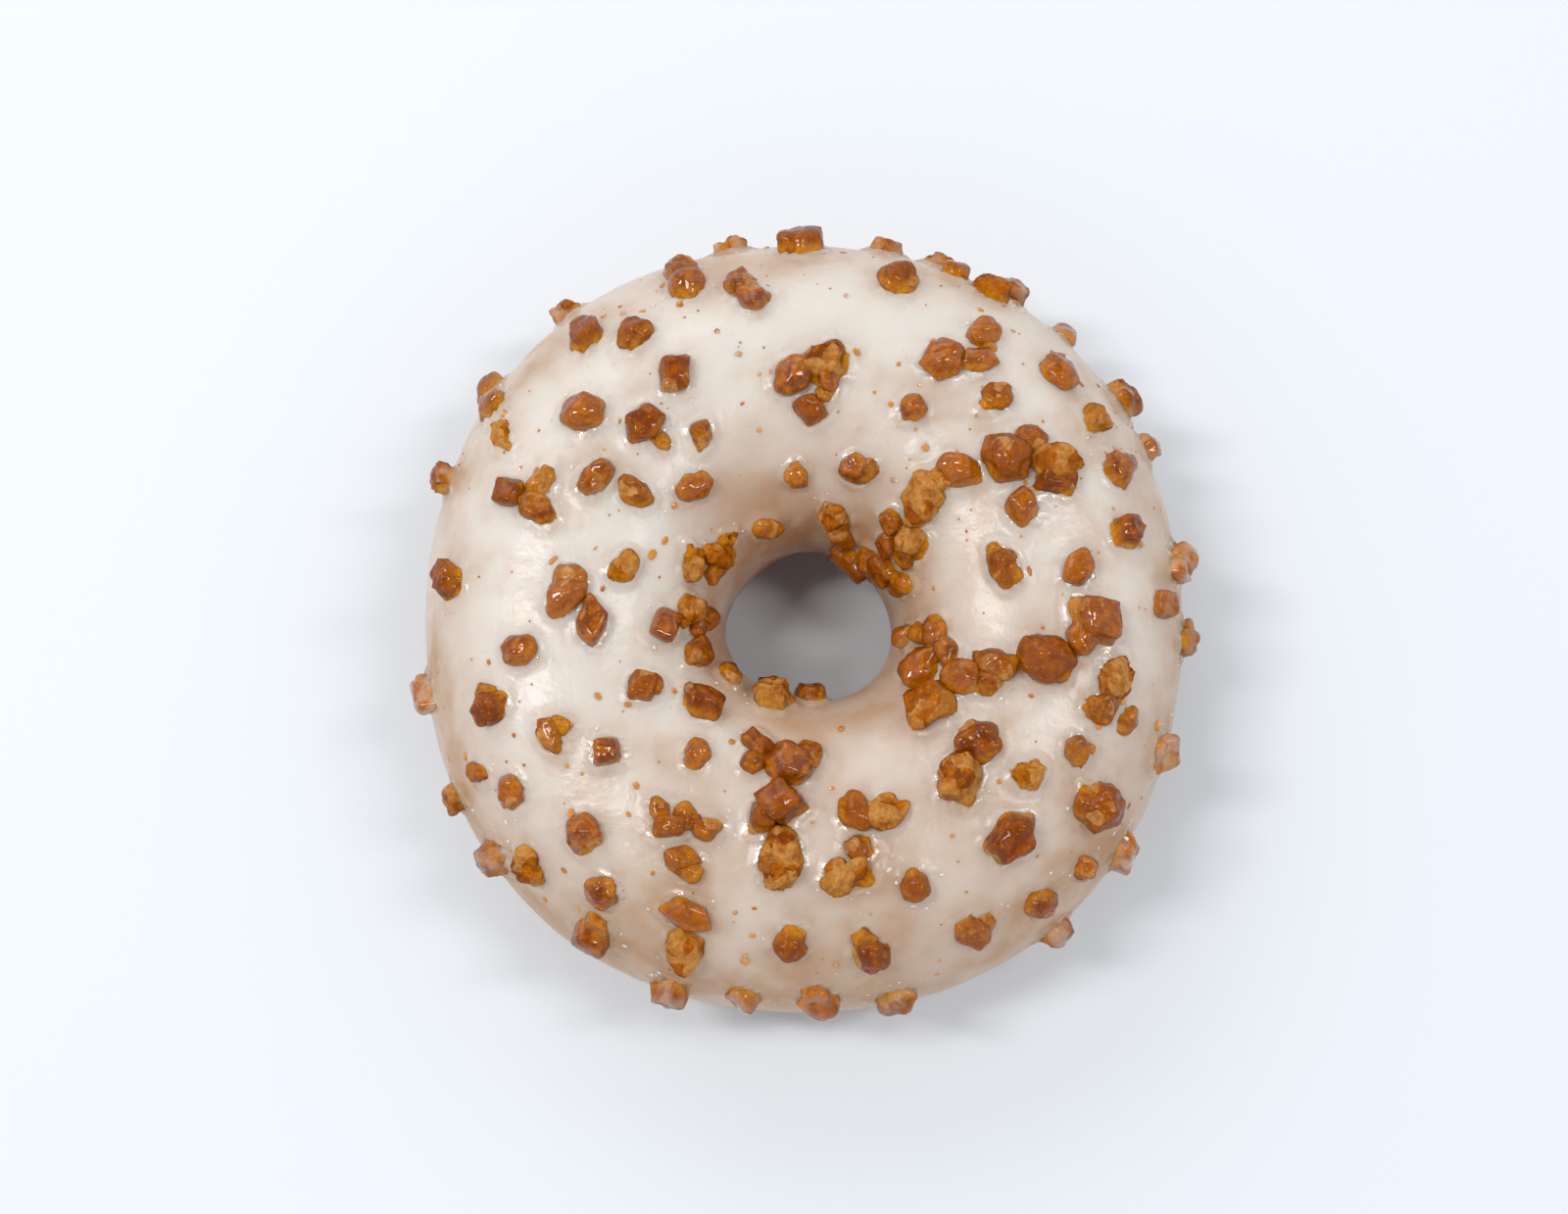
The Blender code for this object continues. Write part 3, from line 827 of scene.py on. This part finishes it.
# The floor: a plain pale sheet that the doughnut rests on, matt and without a pattern. It isn't
# part of the doughnut.
FLOOR = (0.83, 0.85, 0.88, 1)
FLOOR_WIDTH = 6
bpy.ops.mesh.primitive_plane_add(size=FLOOR_WIDTH)
floor = bpy.context.object
floor.name = "floor"
paper, tree, shader, place = new_material("pale_floor")
set_inputs(tree, shader, {"Base Color": FLOOR, "Roughness": 0.85})
floor.data.materials.append(paper)

# The light: daylight comes in low, from the walls and windows, and overhead the room is dim. A
# window behind and two strips of light, the left one stronger, give the icing and toffee glints.
DAYLIGHT = (0.89, 0.945, 1.0, 1)
LOW_STRENGTH = 0.84
OVERHEAD = (0.75, 0.89, 1.0, 1)
OVERHEAD_STRENGTH = 0.25
OVERHEAD_FROM = (0.66, 0.90)
STRIP_PLACE = Vector((0.34, 0.03, 0.72))
STRIP_AIM = Vector((0, 0, 0.02))
STRIP_SIZE = (0.08, 0.28)
STRIP_COLOUR = (1, 0.99, 0.98)
STRIP_WATTS = {"left_strip": 2.05, "right_strip": 1.30}
WINDOW_PLACE = Vector((-0.35, 0.62, 0.60))
WINDOW_AIM = Vector((0, 0.05, 0.02))
WINDOW_SIZE = (0.60, 0.45)
WINDOW_COLOUR = (0.98, 0.99, 1)
WINDOW_WATTS = 1.4
world = bpy.data.worlds.new("daylight")
world.use_nodes = True
tree = world.node_tree
way = add(tree, "ShaderNodeTexCoord").outputs["Generated"]
upward = add(tree, "ShaderNodeSeparateXYZ", inputs={0: way})
overhead = remap(tree, upward.outputs["Z"], *OVERHEAD_FROM)
set_inputs(tree, tree.nodes["Background"], {
    "Color": blend_colour(tree, overhead, DAYLIGHT, OVERHEAD),
    "Strength": remap(tree, overhead, 0, 1, LOW_STRENGTH, OVERHEAD_STRENGTH)})
bpy.context.scene.world = world


def soft_light(name, place, aim, size, watts, colour):
    """A rectangular area light of a width and a length, at a place and aimed at a point."""
    lamp = bpy.data.lights.new(name, "AREA")
    lamp.shape = "RECTANGLE"
    lamp.size, lamp.size_y = size
    lamp.energy = watts
    lamp.color = colour
    holder = bpy.data.objects.new(name, lamp)
    holder.location = place
    holder.rotation_euler = (aim - place).to_track_quat("-Z", "Y").to_euler()
    bpy.context.scene.collection.objects.link(holder)


for name, side in (("left_strip", -1), ("right_strip", 1)):
    place = Vector((side * STRIP_PLACE.x, STRIP_PLACE.y, STRIP_PLACE.z))
    soft_light(name, place, STRIP_AIM, STRIP_SIZE, STRIP_WATTS[name], STRIP_COLOUR)
soft_light("window", WINDOW_PLACE, WINDOW_AIM, WINDOW_SIZE, WINDOW_WATTS, WINDOW_COLOUR)

# The camera: nearly overhead, leaning a little to the front, and as far off as makes one pixel of
# the photo this size at the middle of the doughnut.
PHOTO_WIDTH = 1600
PIXEL = 0.0001161
CAMERA_DISTANCE = 0.300
CAMERA_TILT = 11
CAMERA_AIM = Vector((-0.0023, 0.0020, MID_HEIGHT))
SENSOR_WIDTH = 36
lens = bpy.data.cameras.new("camera")
lens.sensor_width = SENSOR_WIDTH
lens.lens = SENSOR_WIDTH * CAMERA_DISTANCE / (PHOTO_WIDTH * PIXEL)
lens.clip_start = 0.01
camera = bpy.data.objects.new("camera", lens)
tilt = math.radians(CAMERA_TILT)
camera.location = CAMERA_AIM + Vector((0, -math.sin(tilt), math.cos(tilt))) * CAMERA_DISTANCE
camera.rotation_euler = (tilt, 0, 0)
bpy.context.scene.collection.objects.link(camera)
bpy.context.scene.camera = camera
bpy.context.scene.view_settings.view_transform = "Standard"
